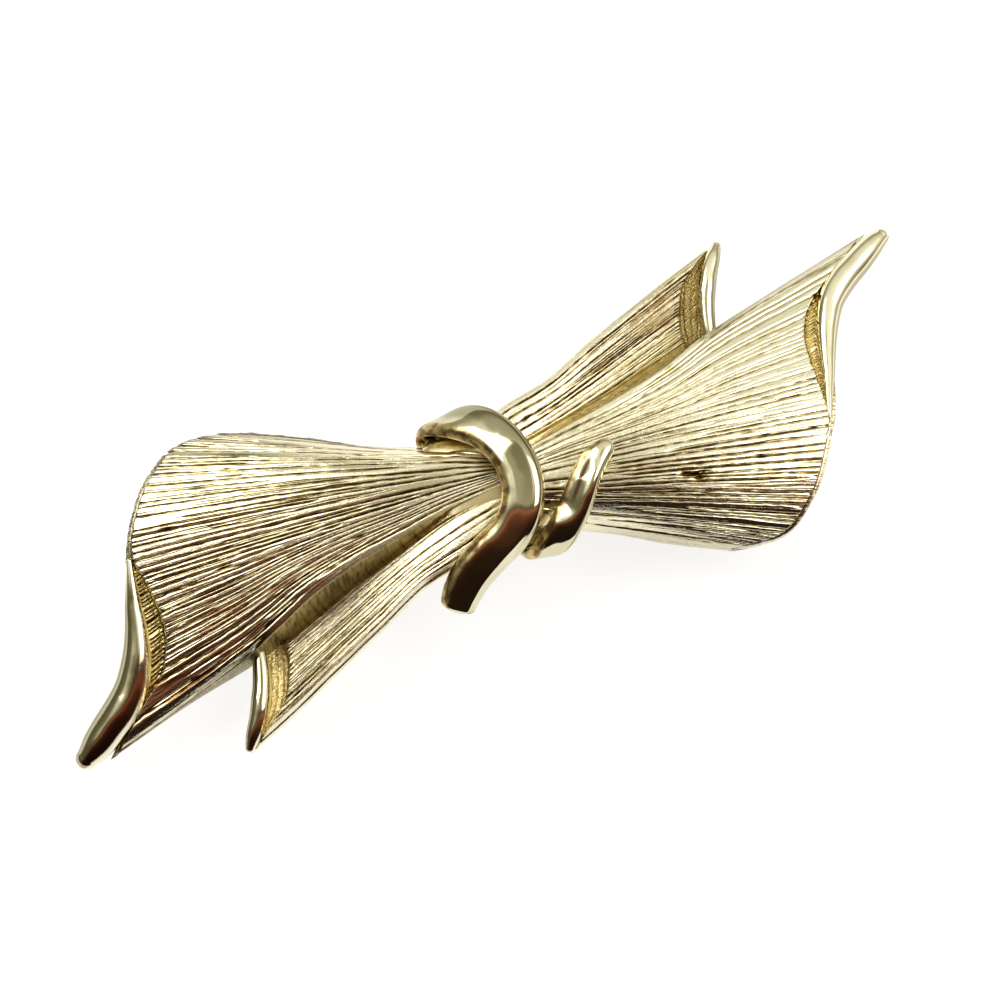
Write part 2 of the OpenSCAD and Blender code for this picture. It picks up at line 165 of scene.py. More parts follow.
# Where the straight cut lines of a wide panel spread from, and their lowest and highest slopes
FAN_X, FAN_Y, FAN_LOW, FAN_HIGH = -4.3, 0.3, -0.56, 0.22

# The photograph's view: roll of the bow, tilt of the camera, and the place of the bow's middle
PHOTO_PX = 1000
MM_PER_PX = 0.0731
ROLL = math.radians(22)
TILT = math.radians(12)
MIDDLE_PX = (486.0, 487.6)
MIDDLE_Z = 6.0
CAMERA_DISTANCE = 300.0
SENSOR = 36.0
PHOTO_UP = Vector((math.sin(ROLL), math.cos(ROLL), 0))
PHOTO_RIGHT = Vector((math.cos(ROLL), -math.sin(ROLL), 0))
UPWARD = Vector((0, 0, 1))


def curve(table, x, column):
    """Smooth curve through a column of a table, read at x in its first column."""
    t = np.asarray(table, float)
    xs, ys = t[:, 0], t[:, column]
    last = len(xs) - 1
    x = np.asarray(x, float)
    i = np.clip(np.searchsorted(xs, x, side="right") - 1, 0, last - 1)
    below = np.maximum(np.arange(last + 1) - 1, 0)
    above = np.minimum(np.arange(last + 1) + 1, last)
    slopes = (ys[above] - ys[below]) / (xs[above] - xs[below])
    h = xs[i + 1] - xs[i]
    u = (x - xs[i]) / h
    rise = ys[i + 1] - ys[i]
    s0, s1 = slopes[i] * h, slopes[i + 1] * h
    return ys[i] + s0 * u + (3 * rise - 2 * s0 - s1) * u**2 + (s0 + s1 - 2 * rise) * u**3


def section(x, column):
    return curve(SECTIONS, x, column)


def blend(a, b, s):
    return a + (b - a) * s


def ease(x, a, b):
    u = np.clip((np.asarray(x, float) - a) / (b - a), 0, 1)
    return u * u * (3 - 2 * u)


def fade(x, a, b):
    return 1 - ease(x, a, b)


def band(x, a, b, c, d):
    """Share that rises from a to b and falls from c to d."""
    return ease(x, a, b) * fade(x, c, d)


def bell(x, middle, width):
    return np.exp(-(((x - middle) / width) ** 2))


def spot(along, across, length, width):
    """A soft oval patch, from distances to its middle and its half sizes."""
    return np.exp(-((along / length) ** 2) - (across / width) ** 2)


def squarish(wave, power):
    """A sine or cosine with fuller corners, for a section between round and square."""
    return np.sign(wave) * np.abs(wave) ** power


def unit(v):
    return v / np.maximum(np.linalg.norm(v, axis=-1, keepdims=True), 1e-12)


def main_height(x, s):
    """Height share of the wide panel's skin at share s across it."""
    crest = section(x, CREST_Z)
    rim_side = crest - (crest - section(x, RIM_Z)) * np.abs(1 - s / CREST_SHARE) ** 2
    over = np.maximum(s - CREST_SHARE, 0) / (1 - CREST_SHARE)
    fold_side = crest - (crest - section(x, FOLD_Z)) * over**1.8
    return np.where(s < CREST_SHARE, rim_side, fold_side)


def rib_share(x, v):
    """Share across the wide panel that the rib at share v has reached at x."""
    return v - RIB_SPREAD * (x - START_X) / (FULL_X - START_X) * v * (1 - v)


def skin_z(px, py):
    """Height of the wide panel's skin under a place in millimetres."""
    x = px / WING_LEN
    s = (py / WING_W - section(x, RIM_Y)) / (section(x, FOLD_Y) - section(x, RIM_Y))
    return TIP_Z + WING_H * main_height(x, s)


def main_point(x, v):
    s = rib_share(x, v)
    y = WING_W * blend(section(x, RIM_Y), section(x, FOLD_Y), s)
    return np.stack([x * WING_LEN, y, TIP_Z + WING_H * main_height(x, s)], -1)


def small_point(x, w):
    y = WING_W * blend(section(x, VALLEY_Y), section(x, OUTER_Y), w)
    rise = blend(section(x, VALLEY_Z), section(x, OUTER_Z), w) + SMALL_FULLNESS * w * (1 - w)
    return np.stack([x * WING_LEN, y, TIP_Z + WING_H * rise], -1)


def fan_share(points):
    """Share across the wide panel along straight lines that spread from one place."""
    slope = (points[..., 1] - FAN_Y) / (points[..., 0] - FAN_X)
    return (slope - FAN_LOW) / (FAN_HIGH - FAN_LOW)


def groove_share(main, v):
    """How much of the groove and curl there is at share v of a hem."""
    if main:
        return ease(v, 0.5, 0.8) * (1 - 0.8 * ease(v, 0.9, 1))
    return (0.6 + 0.4 * ease(v, 0, 0.3)) * (1 - 0.75 * ease(v, 0.82, 1))


def wall_at(x):
    """Thickness of the metal at a share x of the wing."""
    return WALL * (1 - TIP_THIN * ease(x, 0.5, 0.95)) * (1 - WAIST_THIN * fade(x, 0, 0.2))


def stitch(chain_a, at_a, chain_b, at_b):
    """Triangles between two chains of points, walked in step by their shares."""
    faces, i, j = [], 0, 0
    while i < len(chain_a) - 1 or j < len(chain_b) - 1:
        step_a = j == len(chain_b) - 1 or (
            i < len(chain_a) - 1 and at_a[i + 1] + at_a[i] <= at_b[j + 1] + at_b[j]
        )
        if step_a:
            faces.append((chain_a[i], chain_a[i + 1], chain_b[j]))
            i += 1
        else:
            faces.append((chain_a[i], chain_b[j + 1], chain_b[j]))
            j += 1
    return faces


def new_object(name, data):
    obj = bpy.data.objects.new(name, data)
    bpy.context.scene.collection.objects.link(obj)
    return obj


def grid_faces(rings, n):
    """Numbers of the points of rings with n points each, and the faces between the rings."""
    index = np.arange(rings * n).reshape(rings, n)
    a, b = index[:-1], index[1:]
    faces = np.stack([a, np.roll(a, -1, 1), np.roll(b, -1, 1), b], -1).reshape(-1, 4).tolist()
    return index, faces


def make_piece(name, points, turn, faces, material, layers, nodes):
    """A smooth piece from millimetres on the right wing, or turned half round Z to the left one.

    A layer is a grid of values or vectors for its first points.
    """
    mesh = bpy.data.meshes.new(name)
    half_round = [-1, -1, 1] if turn else [1, 1, 1]
    mesh.from_pydata((points * half_round * MM).tolist(), [], [tuple(f) for f in faces])
    for key, grid in layers.items():
        kind, size, field = ("FLOAT", 1, "value") if grid.ndim == 2 else ("FLOAT_VECTOR", 3, "vector")
        values = np.zeros(len(points) * size)
        values[:grid.size] = grid.ravel()
        mesh.attributes.new(key, kind, "POINT").data.foreach_set(field, values)
    mesh.update()
    mesh.shade_smooth()
    mesh.materials.append(material)
    piece = new_object(name, mesh)
    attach(piece, "root")
    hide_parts(*nodes)


# Lowest and highest x share at which each of four cut lines in turn starts
LINE_STARTS = [(-0.1, -0.09), (0.22, 0.5), (0.1, 0.22), (0.22, 0.5)]


class Ribs:
    """Cut lines of a panel: their places, depths and lengths, and small nicks between them."""

    def __init__(self, seed, count, fine, nicks, depth, marks=()):
        rng = np.random.default_rng(seed)
        steps = rng.uniform(0.55, 1.45, count + 1)
        place = np.cumsum(steps) / steps.sum()
        self.place = place[:-1]
        lowest, highest = np.array(LINE_STARTS)[np.arange(count) % 4].T
        self.start = rng.uniform(lowest, highest)
        self.end = np.where(rng.random(count) < 0.86, 2.0, rng.uniform(0.35, 0.7, count))
        self.depth = depth * rng.uniform(0.4, 1.2, count)
        self.half = rng.uniform(0.05, 0.085, count)
        self.wave = rng.uniform(-1, 1, (count, 4)) * [0.04, 0.03, 0.022, 0.02]
        self.rate = rng.uniform(0.6, 1.4, (count, 4)) * [0.25, 0.7, 2.2, 7.0]
        self.phase = rng.uniform(0, 2 * math.pi, (count, 4))
        self.fine_place = rng.random(fine)
        self.fine_start = rng.uniform(0.14, 0.65, fine)
        self.fine_end = self.fine_start + rng.uniform(0.1, 0.4, fine)
        self.fine_depth = depth * rng.uniform(0.15, 0.6, fine)
        self.nick_place = rng.random((nicks, 2))
        self.nick_depth = depth * rng.uniform(-0.5, 0.9, nicks)
        self.nick_size = rng.uniform(0.07, 0.22, (nicks, 2)) * [2.2, 1.0]
        self.marks = marks

    def cut(self, x, v, width, first_x, last_x):
        """Depth of the cuts at places x, v of a panel that is width millimetres wide there."""
        total = np.zeros_like(x)
        along = x * WING_LEN
        present = np.interp(x, [0.1, 0.22, 0.5], [0.25, 0.5, 1])
        fit = np.clip(width / (present * len(self.place)) / FULL_SPACING, 0.3, 1)
        for i, place in enumerate(self.place):
            waves = zip(self.wave[i], self.rate[i], self.phase[i])
            drift = sum(high * np.sin(rate * along + phase) for high, rate, phase in waves)
            across = (v - place) * width - drift * fit
            there = band(x, self.start[i], self.start[i] + 0.07, self.end[i], self.end[i] + 0.05)
            swell = 1 + 0.25 * np.sin(0.9 * along + self.phase[i, 0] * 3)
            swell += 0.25 * np.sin(5 * along + self.phase[i, 1] * 5)
            half = self.half[i] * (0.7 + 0.3 * fit)
            profile = 0.85 * bell(across, 0, half) + 0.24 * bell(across, 0, 2.3 * half)
            total += self.depth[i] * fit**0.2 * there * swell * profile
        fine = zip(self.fine_place, self.fine_start, self.fine_end, self.fine_depth)
        for i, (place, first, last, deep) in enumerate(fine):
            across = (v - place) * width - 0.05 * np.sin(along + i)
            there = band(x, first, first + 0.05, last, last + 0.05)
            total += deep * fit * there * bell(across, 0, 0.045)
        for (place_x, place_v), size, deep in zip(self.nick_place, self.nick_size, self.nick_depth):
            here = blend(first_x, last_x, place_x) * WING_LEN
            total += deep * spot(along - here, (v - place_v) * width, *size)
        for at_x, at_v, long, wide, deep in self.marks:
            total += deep * spot((x - at_x) * WING_LEN, (v - at_v) * width, long, wide)
        return total


# Stained areas of a panel (wide or narrow, turn): x shares, shares across and strength
STAINS = {
    (True, 0): [
        [0.22, 0.72, 0.375, 0.43, 0.9], [0.2, 0.55, 0.25, 0.3, 0.8], [0.56, 0.76, 0.08, 0.44, 0.75],
        [0.37, 0.43, 0.27, 0.36, 0.9], [0.0, 0.3, 0.3, 0.62, 0.35],
    ],
    (True, 1): [
        [0.18, 0.68, 0.62, 0.9, 0.85], [0.4, 0.72, 0.44, 0.6, 0.5], [0.56, 0.9, 0.9, 1.0, 0.9],
        [0.02, 0.3, 0.5, 0.75, 0.6],
    ],
    (False, 0): [[0.42, 0.56, 0.45, 0.9, 0.9], [0.28, 0.36, 0.4, 0.7, 0.5], [0.0, 0.34, 0.78, 0.93, 0.7]],
    (False, 1): [[0.12, 0.5, 0.0, 0.25, 0.5], [0.1, 0.5, 0.84, 1.0, 0.6]],
}
# Darker speckled patches of a wide panel: x share, share across, length and width in millimetres,
# strength
PATCHES = {
    0: [[0.3, 0.3, 1.2, 0.16, 0.4]],
    1: [
        [0.58, 0.1, 1.3, 0.34, 0.95], [0.46, 0.15, 2.0, 0.26, 0.9], [0.61, 0.21, 1.1, 0.28, 0.9],
        [0.37, 0.07, 1.8, 0.32, 0.85], [0.51, 0.05, 1.0, 0.4, 0.9], [0.55, 0.29, 1.4, 0.2, 0.7],
    ],
}
# Right and left values, of a wide panel where the key is True: strength of the cuts at shares across it,
# painted shade of the lines in the groove, and millimetres that the walls at the rim and the fold bulge
CUT_POWER = {
    True: ([0, 0.3, 0.45, 0.6, 1.0], [0.85, 1.0, 0.8, 0.55, 0.6], [0.95, 0.72, 0.75, 0.98, 1.0]),
    False: ([0, 0.3, 0.5, 0.8, 1.0], [0.9, 1.0, 1.2, 1.1, 0.8], [0.55, 0.7, 0.85, 0.75, 0.6]),
}
GROOVE_LINE_SHADE = {True: (0.6, 0.5), False: (0.95, 0.4)}
RIM_BULGE = {True: (-0.1, -0.22), False: (-0.05, -0.05)}
FOLD_BULGE = {True: 0.04, False: 0.2}
# Wide panel, right and left: millimetres that its fold corner is drawn in, or out below zero, where the
# cuts begin and are full, and how far the rim wavers, then painted shade at the rim, the hem, the free
# fold and the wall below it, and fading of the step's painted shade
END_TRIM = (-0.55, 0.7)
PLAIN_RIM = ((0.0, 0.2), (0.1, 0.6))
RIM_WAVER = (0.025, 0.045)
RIM_SHADE = (0.4, 0.95)
HEM_SHADE = (0.35, 0.85)
FOLD_SHADE = (0.45, 0.35)
FOLD_WALL_SHADE = (1.0, 1.8)
STEP_FADE = (0.5, 0.2)
# Narrow panel: painted shade in its groove, and painted shade over its far end
GROOVE_SHADE_SHARE = (2.0, 0.9)
FAR_END_SHADE = (0.5, 0.0)
# Single nicks: x share, share across, length and width in millimetres, depth
MARKS = {
    0: [
        [0.4, 0.335, 0.55, 0.2, 0.2], [0.412, 0.315, 0.3, 0.28, 0.22],
        [0.385, 0.35, 0.22, 0.3, 0.16], [0.425, 0.345, 0.25, 0.14, 0.18],
        [0.545, 0.5, 0.35, 0.12, 0.14], [0.6, 0.19, 0.5, 0.15, 0.18],
        [0.63, 0.24, 0.4, 0.16, 0.2], [0.66, 0.3, 0.5, 0.14, 0.18],
    ],
    1: [
        [0.42, 0.88, 0.9, 0.16, -0.1], [0.3, 0.36, 0.7, 0.2, -0.09], [0.44, 0.52, 0.5, 0.14, 0.14],
        [0.56, 0.3, 0.6, 0.12, 0.13], [0.33, 0.62, 0.5, 0.13, 0.15],
    ],
}


def fall(beyond, g, early=0.0):
    """How far the skin falls into the groove, earlier where a cut runs out."""
    into = ease(beyond + early, 0, 0.42)
    return blend(FREE_LIP, GROOVE_D, g) * into * (1 - 0.2 * ease(beyond, 0.8, 1.35))


def wall_points(top, low, count, bulge):
    """Points between an edge of the face and the back's edge, bulging outward."""
    s = (np.arange(1, count + 1) / (count + 1))[:, None]
    out = np.array([0, bulge, 0])
    return top[:, None] * (1 - s) + low[:, None] * s + out * np.sin(math.pi * s)


# Rows near a panel's hem and beyond it, and points across the wall at its rim
HEM_ROWS = 16
LIP_ROWS = 22
RIM_POINTS = 6


class Panel:
    """A ribbed panel: cut lines on its face, a rolled rim, a groove beyond its hem, a hollow back."""

    def __init__(self, main, turn, columns, rows, start):
        self.main, self.turn, self.columns, self.rows, self.start = main, turn, columns, rows, start
        self.first = 0.0 if main else -LAP
        self.hem = MAIN_HEM if main else SMALL_HEM
        self.point = main_point if main else small_point
        self.full_groove = BIG_GROOVE_W if main else SMALL_GROOVE_W
        self.groove_w = self.full_groove * (SLIM[turn] if main else 1)
        self.back_columns, self.fold_points = (36, 11) if main else (30, 6)
        self.shape = rows + LIP_ROWS, columns + self.fold_points + self.back_columns + RIM_POINTS

        # Columns that run along the cut lines, apart from those next to the rim
        v_fine = np.linspace(self.first, 1, 3 * columns)
        x, v, beyond, g = self.skin(v_fine)
        lines = self.cut_lines(self.point(x, v), v)
        share = np.linspace(0, 1, columns)
        v = np.stack([
            np.interp(np.interp(share, [0, ALIGNED, 1], [row[0], max(ALIGNED, row[0]), 1]), row, v_fine)
            for row in lines
        ])
        self.x, self.v, self.beyond, self.g = self.skin(v)
        self.base = self.point(self.x, self.v)
        width = np.linalg.norm(np.diff(self.base, axis=1), axis=-1).sum(1, keepdims=True)
        self.span = width * np.ones_like(self.x)
        self.lines = self.cut_lines(self.base, self.v)

        # Distances from the edges, where the metal rolls down and is plain
        self.from_rim = (self.v - self.first) * self.span
        self.from_fold = self.v * self.span
        self.from_end = (1 - self.v) * self.span
        self.free_fold = ease(self.x, 0.52, 0.6)
        self.in_groove = ease(self.beyond, 0.05, 0.3) * ease(self.g, 0.05, 0.5)

    def skin(self, v):
        """A grid with columns v: x share, v share, share of the way beyond the hem, groove share."""
        near_hem, far_lip = 0.955, 1.35
        far, near = np.linspace(0, near_hem, self.rows - HEM_ROWS), np.linspace(near_hem, 1, HEM_ROWS + 1)
        t = np.concatenate([far, near[1:], np.ones(LIP_ROWS)])[:, None]
        u = np.concatenate([np.zeros(self.rows), np.linspace(0, far_lip, LIP_ROWS + 1)[1:]])[:, None]
        v = np.broadcast_to(v, (self.rows + LIP_ROWS, v.shape[-1]))
        g = groove_share(self.main, v)
        corner = TRIM[self.turn] * fade(v, 0.45, 0.75) if self.main else 0.0
        drawn_in = END_TRIM[self.turn] * ease(v, 0.94, 1) if self.main else 0.0
        moved = (self.full_groove - self.groove_w) * g - self.notches(v) - drawn_in
        hem = curve(self.hem, v, 1) * (1 - corner) + moved / WING_LEN
        rib_end = hem - RIB_BACK * g / WING_LEN
        reach = blend(FREE_LIP, self.groove_w, g)
        x = blend(self.start, rib_end, t) + u * (reach + RIB_BACK * g) / WING_LEN
        beyond = (x - rib_end) * WING_LEN / np.maximum(reach, 1e-6)
        return x, v, beyond, g

    def notches(self, v):
        """Millimetres that the hem lies nearer the waist where its cuts run out over the edge."""
        rng = np.random.default_rng(40 + self.turn)
        at = np.linspace(0, 1, 110)
        notch = np.clip(np.interp(v, at, rng.uniform(-1.2, 1, 110)), 0, 1) ** 1.5
        return notch * (JAG_CORNER * fade(v, 0.12, 0.3) + JAG_HEM)

    def cut_lines(self, base, v):
        """Share across the panel along its cut lines."""
        return blend(fan_share(base), v, ease(v, 0.72, 0.95)) if self.main else v

    def face(self, ribs):
        """Points of the face, the painted shade and tarnish of its cuts, and its groove's painted shade.
        """
        x, beyond, g, turn, in_groove = self.x, self.beyond, self.g, self.turn, self.in_groove
        from_rim, from_fold, from_end = self.from_rim, self.from_fold, self.from_end
        if self.main:
            roll = 0.4 * fade(from_rim, 0, 0.7) + self.free_fold * 0.4 * fade(from_end, 0, 0.7)
            plain = ease(from_rim, *PLAIN_RIM[turn]) * blend(1, ease(from_end, 0.0, 0.25), self.free_fold)
        else:
            roll = 0.35 * fade(from_end, 0, 0.6)
            plain = ease(from_end, 0.1, 0.4) * ease(from_fold, 0.45, 0.9)
        shares, *powers = CUT_POWER[self.main]
        power = np.interp(self.lines, shares, powers[turn])
        at_hem = fade(beyond, 0.0, 0.25)
        cuts = ribs.cut(x, self.lines, self.span, self.start, np.max(self.hem, axis=0)[1])
        cuts = power * cuts * plain * at_hem
        sway = 1.1 * np.sin(5.3 * from_fold) + 0.7 * np.sin(11 * from_fold)
        cross = 0.5 + 0.5 * np.sin(2 * math.pi * from_fold / FULL_SPACING + sway)
        ridges = 0.5 + 0.5 * np.sin(2 * math.pi * beyond * 2.6 + 0.5 * np.sin(3 * from_fold))
        hatch = cross**2 if self.main else 0.75 * ridges**2 + 0.25 * cross**2

        # Painted shade with tarnish in the cuts, a dark line along the hem, dark lines in the groove
        hem_line = ease(g, 0.1, 0.5) * band(beyond, -0.12, 0.02, 0.1, 0.3)
        cavity = np.maximum(np.clip(cuts / CUT_DARK, 0, 1), 0.7 * hem_line)
        cavity = np.maximum(cavity, GROOVE_LINE_SHADE[self.main][turn] * hatch * in_groove)
        # Painted shade in the groove, past a hem without one, and on the narrow panel by the valley
        if self.main:
            tone = in_groove
            cavity = np.maximum(cavity, 0.3 * fade(g, 0.0, 0.3) * ease(beyond, 0.5, 0.95))
        else:
            tone = np.maximum(GROOVE_SHADE_SHARE[turn] * in_groove, 0.8 * fade(from_fold, 0.6, 1.1))

        normal = unit(np.cross(np.gradient(self.base, axis=0), np.gradient(self.base, axis=1)))
        normal *= np.sign(normal[..., 2:3])
        depth = cuts + 0.09 * hatch * in_groove
        points = self.base + normal * (RIB_H / 2 * plain * at_hem - depth)[..., None]
        points[..., 2] -= fall(beyond, g, 0.45 * cavity * ease(g, 0.05, 0.4)) + roll
        if self.main:
            along = x * WING_LEN
            waver = np.sin(1.3 * along + 2 * turn) + np.sin(3.1 * along + 1) + 0.8 * np.sin(6.7 * along)
            points[..., 1] -= RIM_WAVER[turn] * waver * fade(from_rim, 0, 0.5)
        return points, cavity, tone

    def back(self):
        """A smooth skin one wall below the face, down to the step's foot under the fold."""
        x, v, beyond, g = self.skin(np.linspace(self.first, 1, self.back_columns))
        points = self.point(x, v)
        points[..., 2] -= fall(beyond, g) + wall_at(x)
        if self.main:
            foot_x = x[:, -1]
            points[:, -1, 1] = WING_W * section(foot_x, VALLEY_Y)
            points[:, -1, 2] = TIP_Z + WING_H * section(foot_x, VALLEY_Z) - wall_at(foot_x) / 2
        return points, x, v

    def stains(self):
        """Share of the stain at each point of the face."""
        total, soft = np.zeros_like(self.x), 0.03
        for x0, x1, v0, v1, strength in STAINS[self.main, self.turn]:
            within_x = band(self.x, x0 - soft, x0 + soft, x1 - soft, x1 + soft)
            within_v = band(self.lines, v0 - soft, v0 + soft, v1 - soft, v1 + soft)
            total = np.maximum(total, strength * within_x * within_v)
        return total

    def on_face(self, values):
        """A layer with values on the face and none on the walls and the back."""
        layer = np.zeros(self.shape)
        layer[:, :self.columns] = values
        return layer

    def wear_and_shade(self):
        """Painted shade of the step or far end, speckled painted shade of edges, and darker patches."""
        x, turn = self.x, self.turn
        if not self.main:
            # Painted shade over the far end, outside the groove
            far_end_shade = FAR_END_SHADE[turn] * ease(x, 0.34, 0.5) * (1 - self.in_groove)
            return self.on_face(far_end_shade), self.on_face(0)
        at_rim = RIM_SHADE[turn] * fade(self.from_rim, 0.8, 1.3) * ease(x, 0.12, 0.3)
        at_hem = HEM_SHADE[turn] * fade(self.g, 0.0, 0.3) * ease(self.beyond, -0.5, 0.2)
        at_fold = FOLD_SHADE[turn] * self.free_fold * fade(self.from_end, 0.15, 0.4)
        patches = [
            share * spot((x - at_x) * WING_LEN, (self.lines - at_v) * self.span, long, wide)
            for at_x, at_v, long, wide, share in PATCHES[turn]
        ]
        rim, step = self.on_face(np.max([at_rim, at_hem, at_fold, *patches], axis=0)), self.on_face(0)
        rim[:, -RIM_POINTS:] = at_rim[:, :1]
        wall = slice(self.columns, self.columns + self.fold_points)
        rim[:, wall] = FOLD_WALL_SHADE[turn] * at_fold[:, -1:]
        step[:, wall] = 1 - STEP_FADE[turn] * ease(x[:, -1:], 0.54, 0.62)
        return step, rim

    def faces(self):
        """Faces round the panel's rows of points, and over its two ends."""
        index, faces = grid_faces(*self.shape)
        at_top = np.linspace(0, 1, self.columns)
        at_back = np.linspace(0, 1, self.back_columns)
        at_low = np.concatenate([np.zeros(RIM_POINTS), at_back, np.ones(self.fold_points)])
        for row, flip in ((index[0], False), (index[-1], True)):
            caps = stitch(row[:self.columns], at_top, row[:self.columns - 1:-1], at_low)
            faces += [tuple(int(k) for k in (f[::-1] if flip else f)) for f in caps]
        return faces

    def build(self, name, ribs, material):
        x, turn = self.x, self.turn
        front, cavity, tone = self.face(ribs)
        back, back_x, back_v = self.back()
        fold_wall = wall_points(front[:, -1], back[:, -1], self.fold_points, FOLD_BULGE[self.main])
        rim_wall = wall_points(front[:, 0], back[:, 0], RIM_POINTS, RIM_BULGE[self.main][turn])
        points = np.concatenate([front, fold_wall, back[:, ::-1], rim_wall[:, ::-1]], 1).reshape(-1, 3)
        step, rim = self.wear_and_shade()
        near = 0.85 * fade(x, 0.1, 0.38)
        faces = {"cavity": cavity, "groove": tone, "stain": self.stains(), "near": near}
        layers = {key: self.on_face(values) for key, values in faces.items()}
        layers |= {"step": step, "rim": rim}
        # Where the streaks run: along the wing and across its cut lines
        along = np.concatenate([x, np.repeat(x[:, -1:], self.fold_points, 1), back_x[:, ::-1],
                                np.repeat(x[:, :1], RIM_POINTS, 1)], 1) * WING_LEN
        fold_down = np.linalg.norm(np.diff(fold_wall, axis=1, prepend=front[:, -1:]), axis=-1).cumsum(1)
        rim_down = np.broadcast_to(-np.arange(RIM_POINTS)[::-1] * 0.2, (len(x), RIM_POINTS))
        across = np.concatenate([self.lines * HEM_SPAN, HEM_SPAN + fold_down,
                                 back_v[:, ::-1] * HEM_SPAN, rim_down], 1)
        layers["rib_place"] = np.stack([along, across, np.full_like(along, 3.0 * turn)], -1)
        make_piece(name, points, turn, self.faces(), material, layers, ["bow"])


def smooth_rows(rows, steps):
    """Catmull-Rom rows between the rows of a table."""
    rows = np.asarray(rows, float)
    padded = np.concatenate([rows[:1], rows, rows[-1:]])
    a, b, c, d = (padded[i:len(rows) - 1 + i, None] for i in range(4))
    u = (np.arange(steps) / steps)[:, None]
    out = (2 * b + (c - a) * u + (2 * a - 5 * b + 4 * c - d) * u**2 + (3 * b - a - 3 * c + d) * u**3) / 2
    return np.concatenate([out.reshape(-1, rows.shape[1]), rows[-1:]])


def angles(count):
    return np.linspace(0, 2 * math.pi, count, endpoint=False)


def make_tube(name, rings, ends, turn, material, layers, nodes):
    """A closed tube of rings of points, with one point at each end."""
    count, n = rings.shape[:2]
    index, faces = grid_faces(count, n)
    low, high = count * n, count * n + 1
    faces += [(int(index[0, (k + 1) % n]), int(index[0, k]), low) for k in range(n)]
    faces += [(int(index[-1, k]), int(index[-1, (k + 1) % n]), high) for k in range(n)]
    points = np.concatenate([rings.reshape(-1, 3), ends])
    make_piece(name, points, turn, faces, material, layers, nodes)


# Painted reflections of the right and left curls: angle from the outer side that the olive one reaches,
# its share, share of the dark reddish one beyond it, share of the painted highlight on the inner side
LARGE_SHADES = [(20, 0.75, 0.0, 0.0), (88, 0.9, 0.8, 0.9)]
SMALL_SHADES = [(60, 0.6, 0.0, 0.0), (104, 0.85, 0.3, 0.6)]
# Angle of the fine line along a curl in degrees, and reach of its blunt ends as a share of its radius
LINE_ANGLE = 28
BLUNT = 0.97


def curl(name, table, r_max, turn, material, shades, trim=0.0, slim=1.0, swell=0.0, reach=(0.0, 0.0)):
    """A rolled horn, polished, with a fine line along its outer side. A slim one keeps its inner side."""
    rows = smooth_rows(table, 14)
    rows[:, 0] *= 1 - trim * fade(rows[:, 1], -0.6, 0.2)
    toward_tip = ease(rows[:, 1:2], 0.3, 0.62)
    rows[:, 3:4] *= 1 + swell * toward_tip
    rows[:, :2] += toward_tip * np.array(reach) / [WING_LEN, WING_W]
    path = rows[:, :3] * [WING_LEN, WING_W, WING_H] + [0, 0, TIP_Z]
    ahead = unit(np.gradient(path, axis=0))
    path -= (1 - slim) * r_max * rows[:, 3:4] * unit(np.cross(ahead, [0, 0, 1]))
    radius = slim * rows[:, 3] * r_max
    start, end = path[0], path[-1]
    # Extra rings that round the two ends
    extra = np.linspace(-1, 0, 10)[1:-1]
    more = len(extra)
    head = start + ahead[0] * extra[:, None] * radius[0] * BLUNT
    tail = end - ahead[-1] * extra[::-1, None] * radius[-1] * BLUNT
    ends = np.stack([start - ahead[0] * radius[0] * BLUNT, end + ahead[-1] * radius[-1] * BLUNT])
    rounding = np.sqrt(np.clip(1 - extra**2, 0, 1))
    ahead = np.concatenate([np.repeat(ahead[:1], more, 0), ahead, np.repeat(ahead[-1:], more, 0)])
    path = np.concatenate([head, path, tail])
    radius = np.concatenate([radius[0] * rounding, radius, radius[-1] * rounding[::-1]])
    right = unit(np.cross(ahead, [0, 0, 1]))
    up = np.cross(right, ahead)
    a = angles(56)
    line = 1 - 0.07 * bell(a, math.radians(LINE_ANGLE), math.radians(7))
    ring = np.cos(a)[:, None] * right[:, None] + np.sin(a)[:, None] * up[:, None]
    points = path[:, None] + radius[:, None, None] * line[:, None] * ring
    outer = np.degrees((a + math.pi) % (2 * math.pi) - math.pi)
    olive_reflection_to, olive_reflection_share, dark_reflection_share, highlight_share = shades
    passed = np.linspace(0, 1, len(path))[:, None]
    # Painted reflections on the outer wall and sides, painted shade in the line, painted highlight inside
    layers = {
        "wall": 0.8 * bell(outer, -10, 18) * np.ones_like(passed),
        "line": 0.8 * bell(outer, LINE_ANGLE, 5) * ease(passed, 0.05, 0.2),
        "olive_reflection": olive_reflection_share * band(outer, -60, -35, olive_reflection_to, olive_reflection_to + 8) * ease(passed, 0.1, 0.25),
        "dark_reflection": dark_reflection_share * band(outer, olive_reflection_to, olive_reflection_to + 8, 132, 146) * ease(passed, 0.3, 0.42),
        "edge": highlight_share * bell(outer, 150, 10) * ease(passed, 0.1, 0.25),
    }
    make_tube(name, points, ends, turn, material, layers, ["bow"])


